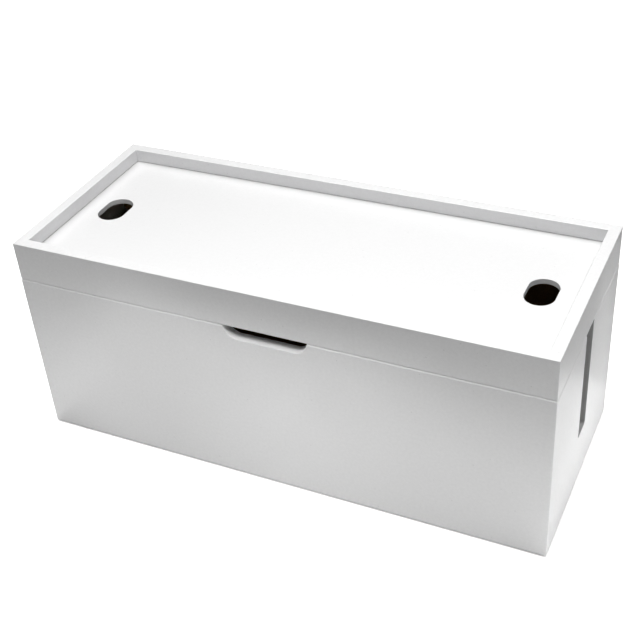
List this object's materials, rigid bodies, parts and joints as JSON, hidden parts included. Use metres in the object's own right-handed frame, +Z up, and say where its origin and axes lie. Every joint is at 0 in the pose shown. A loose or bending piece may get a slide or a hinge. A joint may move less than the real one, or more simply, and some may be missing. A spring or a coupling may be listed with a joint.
{
  "type": "cable management box",
  "caption": "Long open-topped box with a lift-off rimmed lid; round-ended holes in the lid and open-topped slots in the ends let cables out, and a finger notch opens it.",
  "frame": {"origin": "on the floor under the middle of the box: centre of the bounding box in plan, at the underside of the feet", "axes": "+X along the box's length to its right end, +Y towards its back, away from the finger notch, +Z up"},
  "size_m": [0.38, 0.154, 0.159],
  "materials": {
    "white_lacquer": "fibreboard, matt white lacquer",
    "tray_lacquer": "thin fibreboard, matt white lacquer",
    "base_board": "fibreboard, left bare",
    "block_wood": "planed softwood, unfinished",
    "foot_foam": "closed-cell foam rubber, matt"
  },
  "bodies": {
    "box": {"front_panel": "white_lacquer", "back_panel": "white_lacquer", "left_end_panel": "white_lacquer", "right_end_panel": "white_lacquer", "base_panel": "base_board", "foot_front_left": "foot_foam", "foot_front_right": "foot_foam", "foot_back_left": "foot_foam", "foot_back_right": "foot_foam"},
    "lid": {"lid_front_rail": "white_lacquer", "lid_back_rail": "white_lacquer", "lid_left_rail": "white_lacquer", "lid_right_rail": "white_lacquer", "lid_panel": "tray_lacquer", "locating_block_front_left": "block_wood", "locating_block_front_right": "block_wood", "locating_block_back_left": "block_wood", "locating_block_back_right": "block_wood"}
  },
  "joints": [
    {"name": "lid_lift", "type": "slide", "parent": "box", "child": "lid", "axis": [0, 0, 1], "range_m": [0, 0.2]}
  ]
}
